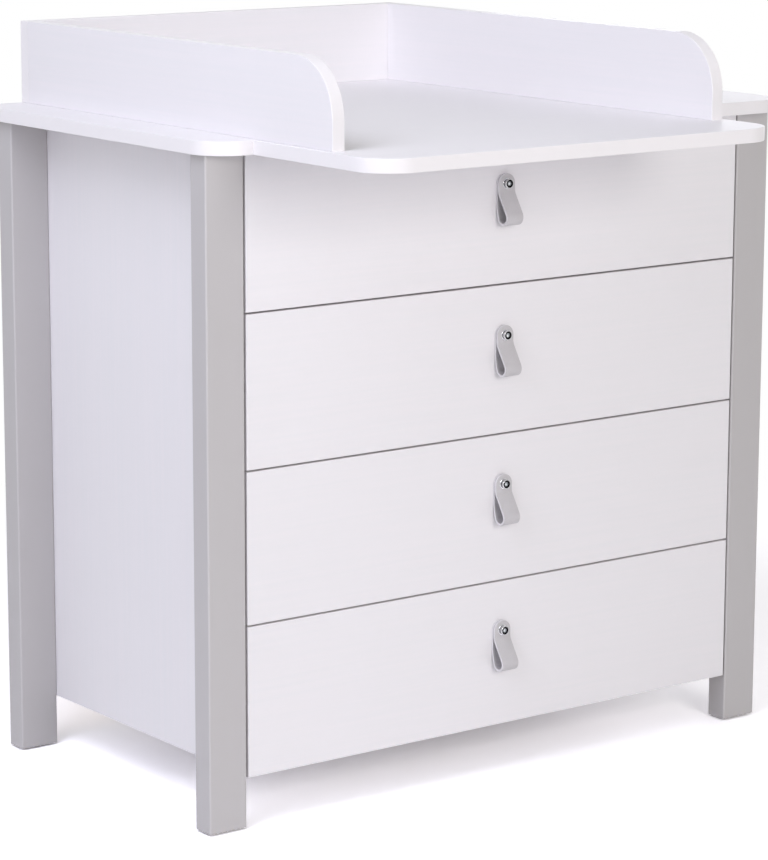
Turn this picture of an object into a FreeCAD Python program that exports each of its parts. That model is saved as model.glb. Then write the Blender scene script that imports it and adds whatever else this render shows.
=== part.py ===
import FreeCAD, Part
import Sketcher
import os
import re
from math import cos, pi, radians, sin

# A changing dresser: a chest of four drawers between four painted posts, a top board wider than the
# chest, a front extension for the changing place, and three guards round that place.
# Sizes are in millimetres. X runs to the right, Y to the back and Z up from the floor. The origin is
# on the floor under the middle of the whole piece.

SIZES = [
    # frame and posts
    ("leg_width", 57, "post, across the chest"),
    ("leg_depth", 34, "post, front to back"),
    ("leg_round", 2.5, "radius of a post's long edges"),
    ("glide_height", 3, "plastic glide under a post"),
    ("glide_radius", 11, "plastic glide"),
    ("glide_pin", 12, "glide's pin in the post, length"),
    ("glide_pin_radius", 2, "glide's pin"),
    # drawer fronts
    ("front_width", 820, "drawer front"),
    ("front_height", 198.5, "drawer front"),
    ("front_thick", 16, "drawer front"),
    ("front_gap", 2.5, "gap above each drawer front"),
    ("front_inset", 0.5, "drawer front's face behind the legs' face"),
    ("buffer_gap", 1.5, "behind a closed drawer front"),
    ("leg_gap", 3, "between a drawer front and a leg"),
    ("floor_gap", 68, "floor to the lowest drawer front"),
    # carcass
    ("carcass_lift", 2, "carcass above the lowest drawer front's bottom edge"),
    ("panel_thick", 18, "side panel, bottom and top rails"),
    ("rail_depth", 80, "top rail, front to back"),
    ("back_thick", 3, "back panel"),
    ("back_setback", 8, "back panel ahead of the side panels' rear edge"),
    ("rear_clear", 19, "between the runners' rear ends and the back panel"),
    ("back_groove", 7, "depth of the groove that holds the back panel"),
    # top
    ("board_thick", 18, "top board, extension and guards"),
    ("side_overhang", 10, "top board beyond the legs"),
    ("front_overhang", 31, "top board ahead of the legs"),
    ("rear_overhang", 31, "top board behind the legs"),
    ("front_reach", 290, "extension's front edge ahead of the legs"),
    ("changer_width", 638, "front extension"),
    ("changer_margin", 60, "extension's left side from the top board's left end"),
    ("corner_round", 50, "front corners of the top board and extension"),
    ("edge_round", 0.8, "softened board edges"),
    # guards
    ("guard_height", 110, "guard above the top board"),
    ("guard_inset", 7, "guard's outer face from the extension's side edge"),
    ("guard_setback", 103, "guard's front end behind the extension's front edge"),
    ("guard_round", 75, "front top corner of a side guard"),
    # drawer boxes
    ("side_thick", 16, "drawer side and back"),
    ("box_lift", 27, "drawer side's bottom edge above the front's bottom edge"),
    ("box_drop", 26.5, "drawer side's top edge below the front's top edge"),
    ("housing", 6, "depth of the grooves that hold sides, backs and bottoms"),
    ("housing_play", 0.2, "loose fit of a board in its groove"),
    ("rear_margin", 10, "drawer side behind the drawer back"),
    ("bottom_thick", 3, "drawer bottom"),
    ("bottom_lift", 10, "drawer bottom above the side's bottom edge"),
    # telescopic runners
    ("runner_length", 450, "each member, and the drawer side behind the front"),
    ("runner_space", 12.7, "between the side panel and the drawer side"),
    ("runner_setback", 2, "members' front end behind the side panel's edge"),
    ("runner_lift", 45, "runner's middle above the drawer side's bottom edge"),
    ("runner_wall", 1.2, "steel strip"),
    ("outer_half", 22.5, "half height of the cabinet member"),
    ("outer_short", 2.7, "cabinet member's flanges short of the drawer side"),
    ("ball_track", 4, "room for the balls between two members"),
    ("middle_start", 3.2, "middle member's web from the side panel"),
    ("middle_short", 1.3, "middle member's flanges short of the drawer side"),
    ("inner_short", 5.6, "drawer member's flanges short of the side panel"),
    # leather pull
    ("pull_height", 133, "pull bolt above the front's bottom edge"),
    ("strap_width", 27, "leather strap"),
    ("strap_thick", 3.2, "leather strap"),
    ("strap_gap", 0.3, "between the two leaves of the strap"),
    ("strap_head", 13, "strap's rounded end above the bolt"),
    ("strap_clear", 0.3, "front leaf lies flat to this far below the bolt's washer"),
    ("strap_swing", 70, "radius of the back leaf as it leaves the front"),
    ("strap_swing_turn", 20, "its turn, in degrees"),
    ("strap_bend", 9, "radius of the loop's bottom, middle of the leather"),
    ("strap_lean", 32, "front leaf's lean, in degrees"),
    ("strap_crook", 15, "radius where the front leaf straightens under the bolt"),
    # pull bolt
    ("bolt_shank", 2.5, "radius"),
    ("washer_radius", 7.5, "bolt's washer"),
    ("washer_thick", 1.2, "bolt's washer"),
    ("bolt_head", 5.75, "radius"),
    ("bolt_head_height", 5, "bolt head"),
    ("bolt_edge", 0.6, "bevel round the bolt head"),
    ("socket_depth", 3, "hexagon socket"),
    ("socket_radius", 2.9, "hexagon socket, to its corners"),
    ("nut_radius", 6, "cap nut inside the drawer"),
    ("nut_height", 4, "cap nut inside the drawer"),
    ("nut_cap", 1, "closed end of the cap nut"),
    # wood screws, dowels and cam fittings
    ("leg_screw_length", 45, "countersunk screw"),
    ("leg_screw_drop", 37.5, "leg screw below a runner's middle"),
    ("leg_screw_edge", 10, "leg screw from a rear leg's front face"),
    ("guard_screw_length", 55, "countersunk screw"),
    ("guard_screw_end", 60, "outermost screw from a guard's end or from the seam"),
    ("seam_screw", 30, "guard screw ahead of the seam"),
    ("top_screw_length", 30, "countersunk screw"),
    ("top_screw_end", 90, "outermost top screw from the side panel"),
    ("screw_radius", 2.5, "countersunk screw"),
    ("screw_head", 4.9, "countersunk screw head, radius"),
    ("screw_cone", 2.4, "countersunk screw head, height"),
    ("pan_radius", 1.9, "runner screw"),
    ("pan_length", 11, "runner screw"),
    ("pan_head", 3.8, "runner screw head, radius"),
    ("pan_head_height", 1.3, "runner screw head"),
    ("pan_margin", 40, "outermost runner screw from the member's end"),
    ("dowel_radius", 4, "beech dowel"),
    ("dowel_length", 30, "beech dowel"),
    ("dowel_skin", 3, "board left beyond a dowel's end"),
    ("seam_dowel_pitch", 128, "between dowels along the extension's seam"),
    ("guard_dowel_edge", 28, "guard corner's dowels from the guard's edges"),
    ("cam_radius", 7.5, "cam disc"),
    ("cam_height", 12.5, "cam disc"),
    ("cam_reach", 34, "cam's middle from the board's end"),
    ("cam_bolt_radius", 3, "cam bolt"),
    ("cam_bolt_grip", 11, "cam bolt in the side panel"),
    ("cam_bolt_play", 1, "cam bolt's end from the cam's middle"),
    ("joint_margin", 20, "cam from the board's front or rear edge"),
    ("joint_pitch", 40, "cam to dowel"),
    ("hole_play", 0.15, "hole's radius over that of what it holds"),
    ("hole_spare", 1, "blind hole beyond the tip"),
    ("mill", 1, "a groove's cutter beyond the face it comes in from"),
]
DRAWERS = range(4)
SIDES = (("left", -1), ("right", 1))

os.makedirs("parts", exist_ok=True)
doc = FreeCAD.newDocument("changing_dresser")
sheet = doc.addObject("Spreadsheet::Sheet", "Sizes")
for row, (alias, value, note) in enumerate(SIZES, 1):
    sheet.set(f"A{row}", alias)
    sheet.set(f"B{row}", str(value))
    sheet.set(f"C{row}", note)
    sheet.setAlias(f"B{row}", alias)
doc.recompute()

NAMES = re.compile(r"\b(" + "|".join(alias for alias, _, _ in SIZES) + r")\b")
nodes = []
cuts = []

# ---- places that several pieces share, as formulas of the sizes ----
panel_start = "(front_inset + front_thick + buffer_gap)"
back_line = f"({panel_start} + runner_setback + runner_length + rear_clear)"
frame_depth = f"({back_line} + back_thick + back_setback)"
leg_face = f"(front_reach - (front_reach + {frame_depth} + rear_overhang) / 2)"
leg_inner = "(front_width / 2 + leg_gap)"
front_face = f"({leg_face} + front_inset)"
front_back = f"({front_face} + front_thick)"
panel_face = f"({leg_face} + {panel_start})"
panel_rear = f"({leg_face} + {frame_depth})"
inner_half = f"({leg_inner} - panel_thick)"
box_half = f"({inner_half} - runner_space)"
box_inner = f"({box_half} - side_thick)"
box_height = "(front_height - box_lift - box_drop)"
box_rear = f"({front_back} + runner_length)"
back_start = f"({box_rear} - rear_margin - side_thick)"
pitch = "(front_height + front_gap)"
carcass_bottom = "(floor_gap + carcass_lift)"
top_under = f"(floor_gap + {len(DRAWERS)} * {pitch})"
top_face = f"({top_under} + board_thick)"
carcass_height = f"({top_under} - {carcass_bottom})"
rail_under = f"({top_under} - panel_thick)"
board_middle = f"({top_under} + board_thick / 2)"
back_front = f"({leg_face} + {back_line})"
rear_rail_front = f"({back_front} - rail_depth)"
runner_start = f"({panel_face} + runner_setback)"
seam = f"({leg_face} - front_overhang)"
board_end = f"({leg_inner} + leg_width + side_overhang)"
changer_middle = f"(changer_margin + changer_width / 2 - {board_end})"
guard_half = "(changer_width / 2 - guard_inset)"
guard_front = f"({leg_face} - front_reach + guard_setback)"
guard_joint = f"({panel_rear} + rear_overhang - board_thick)"
middle_half = "(outer_half - runner_wall - ball_track)"
inner_member_half = f"({middle_half} - runner_wall - ball_track)"
strap_stack = "(2 * strap_thick + strap_gap)"
head_under = f"({strap_stack} + washer_thick)"


def drawer_floor(place):
    """Bottom edge of a drawer front. Places count from 0, the lowest drawer."""
    return f"(floor_gap + {place} * {pitch})"


def box_bottom(place):
    return f"({drawer_floor(place)} + box_lift)"


def runner_middle(place):
    return f"({box_bottom(place)} + runner_lift)"


POINTING = {
    "+X": FreeCAD.Rotation(FreeCAD.Vector(0, 1, 0), 90),
    "-X": FreeCAD.Rotation(FreeCAD.Vector(0, 1, 0), -90),
    "+Y": FreeCAD.Rotation(FreeCAD.Vector(1, 0, 0), -90),
    "+Z": FreeCAD.Rotation(),
    "half turn": FreeCAD.Rotation(FreeCAD.Vector(0, 0, 1), 180),
}


def bound(formula):
    """A formula of size names, as an expression on the sheet."""
    return NAMES.sub(r"Sizes.\1", str(formula))


def worth(formula):
    """What a formula of size names comes to."""
    return float(sheet.evalExpression(bound(formula)))


def put(piece, at, pointing="+Z"):
    """Turns a piece's own Z to the way it points and ties its place to the sizes."""
    piece.Placement = FreeCAD.Placement(FreeCAD.Vector(), POINTING[pointing])
    for axis, formula in zip("xyz", at):
        piece.setExpression(f"Placement.Base.{axis}", bound(formula))
    return piece


def node(piece, name):
    piece.Label = name
    nodes.append(piece)
    return piece


# ---- ways of making a piece ----
def block(extent, at):
    """A rectangular board, from its lowest corner."""
    board = doc.addObject("Part::Box", "board")
    for side, formula in zip(("Length", "Width", "Height"), extent):
        board.setExpression(side, bound(formula))
    return put(board, at)


def rod(radius, length, start=(0, 0, 0), pointing="+Z"):
    pin = doc.addObject("Part::Cylinder", "rod")
    pin.setExpression("Radius", bound(radius))
    pin.setExpression("Height", bound(length))
    return put(pin, start, pointing)


def group(pieces):
    bundle = doc.addObject("Part::Compound", "group")
    bundle.Links = pieces
    return bundle


def cut(base, tools):
    """The base less its grooves and holes."""
    result = doc.addObject("Part::Cut", "cut")
    result.Base = base
    result.Tool = group(tools)
    cuts.append(result)
    return result


def outline(body, role, corners):
    """A closed polygon on one of the body's own planes, each corner tied to the sizes."""
    sketch = body.newObject("Sketcher::SketchObject", "outline")
    own_plane = next(item for item in body.Origin.OriginFeatures if item.Role == role)
    sketch.AttachmentSupport = [(own_plane, "")]
    sketch.MapMode = "FlatFace"
    spots = [FreeCAD.Vector(worth(across), worth(up), 0) for across, up in corners]
    count = len(corners)
    for index in range(count):
        sketch.addGeometry(Part.LineSegment(spots[index], spots[(index + 1) % count]), False)
    for index in range(count):
        following = (index + 1) % count
        sketch.addConstraint(Sketcher.Constraint("Coincident", index, 2, following, 1))
    upright_axis, level_axis = -2, -1
    for index, corner in enumerate(corners):
        ties = (("DistanceX", spots[index].x, upright_axis), ("DistanceY", spots[index].y, level_axis))
        for formula, (kind, start, axis) in zip(corner, ties):
            if formula == 0:
                sketch.addConstraint(Sketcher.Constraint("PointOnObject", index, 1, axis))
            else:
                tie = sketch.addConstraint(Sketcher.Constraint(kind, -1, 1, index, 1, start))
                sketch.setExpression(f"Constraints[{tie}]", bound(formula))
    return sketch


def prism(extent, at, roundings):
    """A board from a sketched rectangle. Each rounding is an edge chooser and a radius."""
    body = doc.addObject("PartDesign::Body", "prism")
    along, across, height = extent
    feature = body.newObject("PartDesign::Pad", "pad")
    feature.Profile = outline(body, "XY_Plane", [(0, 0), (along, 0), (along, across), (0, across)])
    feature.setExpression("Length", bound(height))
    doc.recompute()
    for chooser, radius in roundings:
        shape = feature.Shape
        edges = [
            f"Edge{number}"
            for number, edge in enumerate(shape.Edges, 1)
            if chooser([vertex.Point for vertex in edge.Vertexes], shape.BoundBox)
        ]
        rounding = body.newObject("PartDesign::Fillet", "rounding")
        rounding.Base = (feature, edges)
        rounding.setExpression("Radius", bound(radius))
        feature = rounding
        doc.recompute()
    body.Tip = feature
    return put(body, at)


def turned(corners):
    """A piece turned about its own Z axis, from (radius, height) corners."""
    body = doc.addObject("PartDesign::Body", "turned")
    turn = body.newObject("PartDesign::Revolution", "turn")
    turn.Profile = outline(body, "XZ_Plane", corners)
    turn.ReferenceAxis = (turn.Profile[0], ["V_Axis"])
    turn.Angle = 360
    return body


def copies(source, places):
    """The same piece at every place: x, y, z and the way it points."""
    made = []
    for x, y, z, pointing in places:
        link = doc.addObject("App::Link", "copy")
        link.LinkedObject = source
        link.LinkTransform = True
        made.append(put(link, (x, y, z), pointing))
    return made


# ---- which edges of a board are rounded, by an edge's end points and the board's box ----
NEAR = 1e-3


def upright(ends, _box):
    start, end = ends[0], ends[-1]
    return abs(start.x - end.x) + abs(start.y - end.y) < NEAR < abs(start.z - end.z)


def front_corner(ends, box):
    return upright(ends, box) and ends[0].y < box.YMin + NEAR


def level(ends, _box):
    """Every edge in the top or bottom face of a board."""
    return abs(ends[0].z - ends[-1].z) < NEAR


def front_rim(ends, box):
    return all(point.y < box.YMin + NEAR for point in ends)


def front_top(ends, box):
    return front_rim(ends, box) and all(point.z > box.ZMax - NEAR for point in ends)


def flank(ends, _box):
    """The outlines of a side guard's left and right faces."""
    return abs(ends[0].x - ends[-1].x) < NEAR


# ---- screws, dowels and cam fittings, and their holes: head or end at Z = 0, tip up ----
def countersunk(length):
    screw = turned([
        (0, 0),
        ("screw_head", 0),
        ("screw_radius", "screw_cone"),
        ("screw_radius", length),
        (0, length),
    ])
    hole = turned([
        (0, 0),
        ("screw_head + hole_play", 0),
        ("screw_radius + hole_play", "screw_cone + hole_play"),
        ("screw_radius + hole_play", f"{length} + hole_spare"),
        (0, f"{length} + hole_spare"),
    ])
    return screw, hole


leg_screw, leg_hole = countersunk("leg_screw_length")
guard_screw, guard_hole = countersunk("guard_screw_length")
top_screw, top_hole = countersunk("top_screw_length")
pan_screw = turned([
    (0, "-pan_head_height"),
    ("pan_head", "-pan_head_height"),
    ("pan_head", 0),
    ("pan_radius", 0),
    ("pan_radius", "pan_length"),
    (0, "pan_length"),
])
pan_hole = rod("pan_radius + hole_play", "pan_length + hole_spare")
dowel = rod("dowel_radius", "dowel_length", (0, 0, "-dowel_length / 2"))
dowel_hole = rod(
    "dowel_radius + hole_play",
    "dowel_length + hole_spare",
    (0, 0, "-(dowel_length + hole_spare) / 2"),
)
cam_hole = rod("cam_radius + hole_play", "cam_height + hole_play")
cam_bolt = rod("cam_bolt_radius", "cam_bolt_grip + cam_reach - cam_bolt_play")
cam_bolt_hole = rod(
    "cam_bolt_radius + hole_play", "hole_spare + cam_bolt_grip + cam_reach", (0, 0, "-hole_spare")
)
# the bolt's end sits in a bore that comes in through the cam disc's rim
cam_bore = rod(
    "cam_bolt_radius + 2 * hole_play",
    "cam_bolt_play + cam_radius + mill",
    ("-cam_bolt_play", 0, "panel_thick / 2"),
    "+X",
)
cam_disc = cut(rod("cam_radius", "cam_height"), [cam_bore])

# ---- where they go ----
leg_places = {}
runner_places = {}
for side, sign in SIDES:
    outward = "+X" if sign > 0 else "-X"
    for end, along in (
        ("front", f"({panel_face} + {leg_face} + leg_depth) / 2"),
        ("rear", f"{panel_rear} - leg_depth + leg_screw_edge"),
    ):
        leg_places[end, side] = [
            (f"{sign} * {inner_half}", along, f"{runner_middle(place)} - leg_screw_drop", outward)
            for place in DRAWERS
        ]
    for place in DRAWERS:
        runner_places[side, place] = [
            (
                f"{sign} * ({inner_half} - runner_wall)",
                f"{runner_start} + {spot}",
                runner_middle(place),
                outward,
            )
            for spot in ("pan_margin", "runner_length / 2", "runner_length - pan_margin")
        ]

# The boards between the side panels: underside, front edge and depth.
cross_boards = {
    "bottom_panel": (carcass_bottom, panel_face, f"({back_front} - {panel_face})"),
    "top_rail_front": (rail_under, panel_face, "rail_depth"),
    "top_rail_rear": (rail_under, rear_rail_front, "rail_depth"),
}
cam_places = {}
cam_bolt_places = {}
cross_dowels = {}
for name, (underside, front, depth) in cross_boards.items():
    cam_lines = [f"{front} + joint_margin"]
    dowel_lines = [f"{front} + joint_margin + joint_pitch"]
    if name == "bottom_panel":
        cam_lines.append(f"{front} + {depth} - joint_margin")
        dowel_lines.append(f"{front} + {depth} - joint_margin - joint_pitch")
    middle = f"{underside} + panel_thick / 2"
    for side, sign in SIDES:
        end = f"{sign} * {inner_half}"
        cam_places[name, side] = [
            (f"{end} - {sign} * cam_reach", line, underside, "+Z" if sign > 0 else "half turn")
            for line in cam_lines
        ]
        cam_bolt_places[name, side] = [
            (f"{end} + {sign} * cam_bolt_grip", line, middle, "-X" if sign > 0 else "+X")
            for line in cam_lines
        ]
        dowel_middle = f"{end} + {sign} * (panel_thick - dowel_skin - dowel_length / 2)"
        cross_dowels[name, side] = [(dowel_middle, line, middle, "+X") for line in dowel_lines]

seam_dowels = [
    (f"{changer_middle} + {step} * seam_dowel_pitch", seam, board_middle, "+Y")
    for step in range(-2, 3)
]
guard_lines = {
    "left": f"({changer_middle} - {guard_half} + board_thick / 2)",
    "right": f"({changer_middle} + {guard_half} - board_thick / 2)",
}
guard_dowels = [
    (line, f"{guard_joint} + board_thick - dowel_skin - dowel_length / 2", height, "+Y")
    for line in guard_lines.values()
    for height in (
        f"{top_face} + guard_dowel_edge",
        f"{top_face} + guard_height - guard_dowel_edge",
    )
]
back_guard_line = f"{guard_joint} + board_thick / 2"
guard_places = {
    side: [
        (line, along, top_under, "+Z")
        for along in (
            f"{guard_front} + guard_screw_end",
            f"{seam} - seam_screw",
            f"{seam} + guard_screw_end",
            f"{guard_joint} - guard_screw_end",
        )
    ]
    for side, line in guard_lines.items()
}
guard_places["back"] = [
    (f"{changer_middle} + {step} * ({guard_half} - guard_screw_end)", back_guard_line, top_under, "+Z")
    for step in (-1, 0, 1)
]
top_places = {
    name: [
        (f"{step} * ({inner_half} - top_screw_end)", f"{front} + {depth} / 2", underside, "+Z")
        for step in (-1, 0, 1)
    ]
    for name, (underside, front, depth) in cross_boards.items()
    if underside == rail_under
}


def every(places):
    """All the places of a dictionary in one list."""
    return [spot for spots in places.values() for spot in spots]


# ---- legs and glides ----
glide = turned([
    (0, 0),
    ("glide_radius - edge_round", 0),
    ("glide_radius", "edge_round"),
    ("glide_radius", "glide_height"),
    ("glide_pin_radius", "glide_height"),
    ("glide_pin_radius", "glide_height + glide_pin"),
    (0, "glide_height + glide_pin"),
])
glide_hole = rod("glide_pin_radius + hole_play", "glide_height + glide_pin + hole_spare")
leg_spots = {
    ("front", "left"): (f"-{leg_inner} - leg_width", leg_face),
    ("front", "right"): (leg_inner, leg_face),
    ("rear", "left"): (f"-{leg_inner} - leg_width", f"{panel_rear} - leg_depth"),
    ("rear", "right"): (leg_inner, f"{panel_rear} - leg_depth"),
}
glide_places = []
for (end, side), (x, y) in leg_spots.items():
    post = prism(
        ("leg_width", "leg_depth", f"{top_under} - glide_height"),
        (x, y, "glide_height"),
        [(upright, "leg_round")],
    )
    foot = (f"{x} + leg_width / 2", f"{y} + leg_depth / 2", 0, "+Z")
    glide_places.append(foot)
    holes = copies(leg_hole, leg_places[end, side]) + copies(glide_hole, [foot])
    node(cut(post, holes), f"leg_{end}_{side}")
node(group(copies(glide, glide_places)), "foot_glides")
node(group(copies(leg_screw, every(leg_places))), "leg_screws")

# ---- carcass ----
for side, sign in SIDES:
    panel = block(
        ("panel_thick", f"{panel_rear} - {panel_face}", carcass_height),
        (inner_half if sign > 0 else f"-{leg_inner}", panel_face, carcass_bottom),
    )
    groove = block(
        ("mill + back_groove", "back_thick + housing_play", f"{carcass_height} + 2 * mill"),
        (
            f"{inner_half} - mill" if sign > 0 else f"-{inner_half} - back_groove",
            f"{back_front} - housing_play / 2",
            f"{carcass_bottom} - mill",
        ),
    )
    holes = copies(leg_hole, leg_places["front", side] + leg_places["rear", side])
    for place in DRAWERS:
        holes += copies(pan_hole, runner_places[side, place])
    for name in cross_boards:
        holes += copies(cam_bolt_hole, cam_bolt_places[name, side])
        holes += copies(dowel_hole, cross_dowels[name, side])
    node(cut(panel, [groove] + holes), f"side_panel_{side}")

for name, (underside, front, depth) in cross_boards.items():
    board = block((f"2 * {inner_half}", depth, "panel_thick"), (f"-{inner_half}", front, underside))
    holes = copies(top_hole, top_places.get(name, []))
    for side, _ in SIDES:
        holes += copies(cam_hole, cam_places[name, side])
        holes += copies(cam_bolt_hole, cam_bolt_places[name, side])
        holes += copies(dowel_hole, cross_dowels[name, side])
    node(cut(board, holes), name)

back_half = f"({inner_half} + back_groove - housing_play)"
back_panel = block(
    (f"2 * {back_half}", "back_thick", carcass_height), (f"-{back_half}", back_front, carcass_bottom)
)
node(back_panel, "back_panel")
node(group(copies(cam_disc, every(cam_places))), "cam_discs")
node(group(copies(cam_bolt, every(cam_bolt_places))), "cam_bolts")
node(group(copies(dowel, every(cross_dowels) + seam_dowels + guard_dowels)), "dowels")

# ---- top board, extension and guards ----
top_board = prism(
    (f"2 * {board_end}", f"front_overhang + {frame_depth} + rear_overhang", "board_thick"),
    (f"-{board_end}", seam, top_under),
    [(front_corner, "corner_round"), (level, "edge_round")],
)
extension = prism(
    ("changer_width", "front_reach - front_overhang", "board_thick"),
    (f"{changer_middle} - changer_width / 2", f"{leg_face} - front_reach", top_under),
    [(front_corner, "corner_round"), (level, "edge_round")],
)
top_holes = copies(dowel_hole, seam_dowels) + copies(guard_hole, every(guard_places))
node(cut(top_board, top_holes + copies(top_hole, every(top_places))), "top_board")
node(cut(extension, top_holes), "front_extension")

corner_holes = copies(dowel_hole, guard_dowels)
for side, line in guard_lines.items():
    guard = prism(
        ("board_thick", f"{guard_joint} - {guard_front}", "guard_height"),
        (f"{line} - board_thick / 2", guard_front, top_face),
        [(front_top, "guard_round"), (flank, "edge_round")],
    )
    node(cut(guard, copies(guard_hole, guard_places[side]) + corner_holes), f"guard_{side}")
back_guard = prism(
    (f"2 * {guard_half}", "board_thick", "guard_height"),
    (f"{changer_middle} - {guard_half}", guard_joint, top_face),
    [(level, "edge_round")],
)
node(cut(back_guard, copies(guard_hole, guard_places["back"]) + corner_holes), "guard_back")
node(group(copies(guard_screw, every(guard_places))), "guard_screws")
node(group(copies(top_screw, every(top_places))), "top_screws")


# ---- telescopic runners ----
def channel(sign, place, near, far, half, opens_to_panel, holes):
    """One steel member: a web and two flanges, from near to far off the side panel."""
    low_end = f"({inner_half} - ({far}))" if sign > 0 else f"(-{inner_half} + {near})"
    width = f"(({far}) - ({near}))"
    start = f"{runner_middle(place)} - {half}"
    strip = block((width, "runner_length", f"2 * {half}"), (low_end, runner_start, start))
    web_is_low = opens_to_panel == (sign > 0)
    inside = f"{low_end} + runner_wall" if web_is_low else f"{low_end} - mill"
    hollow = block(
        (f"{width} - runner_wall + mill", "runner_length + 2 * mill", f"2 * ({half} - runner_wall)"),
        (inside, f"{runner_start} - mill", f"{start} + runner_wall"),
    )
    return cut(strip, [hollow] + holes)


cabinet_members = []
for side, sign in SIDES:
    for place in DRAWERS:
        holes = copies(pan_hole, runner_places[side, place])
        reach = "runner_space - outer_short"
        member = channel(sign, place, "0", reach, "outer_half", False, holes)
        cabinet_members.append(member)
node(group(cabinet_members), "cabinet_runners")
node(group(copies(pan_screw, every(runner_places))), "runner_screws")


# ---- leather pull: a strap folded into a loop, its two ends bolted one on the other ----
def strap_line(offset):
    """One of the strap's two outlines in side view, offset from its middle line.

    Y runs from the drawer front's face and Z from the bolt. The line comes down the back leaf,
    goes round the loop's bottom and up the front leaf.
    """
    half = worth("strap_thick / 2")
    swing, lean = radians(worth("strap_swing_turn")), radians(worth("strap_lean"))
    sweep, bend, crook = worth("strap_swing"), worth("strap_bend"), worth("strap_crook")
    head = worth("strap_head")
    front_leaf = -worth("1.5 * strap_thick + strap_gap")

    def spot(centre, radius, angle):
        return centre + FreeCAD.Vector(0, radius * cos(angle), radius * sin(angle))

    def arc(centre, radius, first, last):
        angles = (first, (first + last) / 2, last)
        return Part.Arc(*(spot(centre, radius, angle) for angle in angles))

    swing_centre = FreeCAD.Vector(0, -half - sweep, 0)
    bend_centre = spot(swing_centre, sweep - bend, -swing)
    leaves_bend = -pi - lean
    level_with_bend = spot(bend_centre, bend + crook, leaves_bend)
    rise = (front_leaf - crook - level_with_bend.y) / sin(lean)
    crook_centre = level_with_bend + FreeCAD.Vector(0, sin(lean), cos(lean)) * rise
    drop = worth("washer_radius + strap_clear") + crook_centre.z
    for centre in (swing_centre, bend_centre, crook_centre):
        centre.z -= drop
    back_top = FreeCAD.Vector(0, -half + offset, head)
    front_top_end = FreeCAD.Vector(0, front_leaf - offset, head)
    pieces = [
        Part.LineSegment(back_top, spot(swing_centre, sweep + offset, 0)),
        arc(swing_centre, sweep + offset, 0, -swing),
        arc(bend_centre, bend + offset, -swing, leaves_bend),
        Part.LineSegment(
            spot(bend_centre, bend + offset, leaves_bend), spot(crook_centre, crook - offset, -lean)
        ),
        arc(crook_centre, crook - offset, -lean, 0),
        Part.LineSegment(spot(crook_centre, crook - offset, 0), front_top_end),
    ]
    return [piece.toShape() for piece in pieces], back_top, front_top_end


def strap_shape():
    half, wide = worth("strap_thick / 2"), worth("strap_width")
    outer, outer_back, outer_front = strap_line(half)
    inner, inner_back, inner_front = strap_line(-half)
    caps = [Part.makeLine(outer_back, inner_back), Part.makeLine(outer_front, inner_front)]
    ring = Part.Wire(Part.sortEdges(outer + inner + caps)[0])
    loop = Part.Face(ring).extrude(FreeCAD.Vector(wide, 0, 0))
    loop.translate(FreeCAD.Vector(-wide / 2, 0, 0))
    # seen from the front the ends are rounded to a half circle as wide as the strap
    box = loop.BoundBox
    backwards = FreeCAD.Vector(0, 1, 0)
    round_middle = worth("strap_head") - wide / 2
    front_of_box = FreeCAD.Vector(0, box.YMin - 1, round_middle)
    round_end = Part.makeCylinder(wide / 2, box.YLength + 2, front_of_box, backwards)
    rest = Part.makeBox(
        wide,
        box.YLength + 2,
        round_middle - box.ZMin + 1,
        FreeCAD.Vector(-wide / 2, box.YMin - 1, box.ZMin - 1),
    )
    bolt_hole = Part.makeCylinder(
        worth("bolt_shank + hole_play"), box.YLength + 2, FreeCAD.Vector(0, box.YMin - 1, 0), backwards
    )
    return loop.common(round_end.fuse(rest)).cut(bolt_hole)


# The pull's bolt, washer and nut share the bolt's axis, with Z = 0 at the drawer front's face.
bolt_top = f"({head_under} + bolt_head_height)"
bolt_end = "(front_thick + nut_height - nut_cap - hole_play)"
nut_bore = "bolt_shank + hole_play"
bolt_blank = turned([
    (0, f"-{bolt_top}"),
    ("bolt_head - bolt_edge", f"-{bolt_top}"),
    ("bolt_head", f"-{bolt_top} + bolt_edge"),
    ("bolt_head", f"-{head_under}"),
    ("bolt_shank", f"-{head_under}"),
    ("bolt_shank", bolt_end),
    (0, bolt_end),
])
socket = doc.addObject("Part::Prism", "socket")
socket.Polygon = 6
socket.setExpression("Circumradius", bound("socket_radius"))
socket.setExpression("Height", bound("socket_depth + mill"))
put(socket, (0, 0, f"-{bolt_top} - mill"))
bolt = cut(bolt_blank, [socket])
washer = turned([
    (nut_bore, f"-{head_under}"),
    ("washer_radius", f"-{head_under}"),
    ("washer_radius", f"-{strap_stack}"),
    (nut_bore, f"-{strap_stack}"),
])
nut = turned([
    (nut_bore, "front_thick"),
    ("nut_radius", "front_thick"),
    ("nut_radius", "front_thick + nut_height"),
    (0, "front_thick + nut_height"),
    (0, "front_thick + nut_height - nut_cap"),
    (nut_bore, "front_thick + nut_height - nut_cap"),
])
bolt_hole = rod(nut_bore, "front_thick + 2 * mill", (0, 0, "-mill"))
strap = strap_shape()


# ---- drawers, each with its own half of the runners ----
def housing_slot(extent, at):
    """The groove that takes a board: the board's box with play all round."""
    return block(
        [f"{side} + housing_play" for side in extent],
        [f"{low} - housing_play / 2" for low in at],
    )


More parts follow.
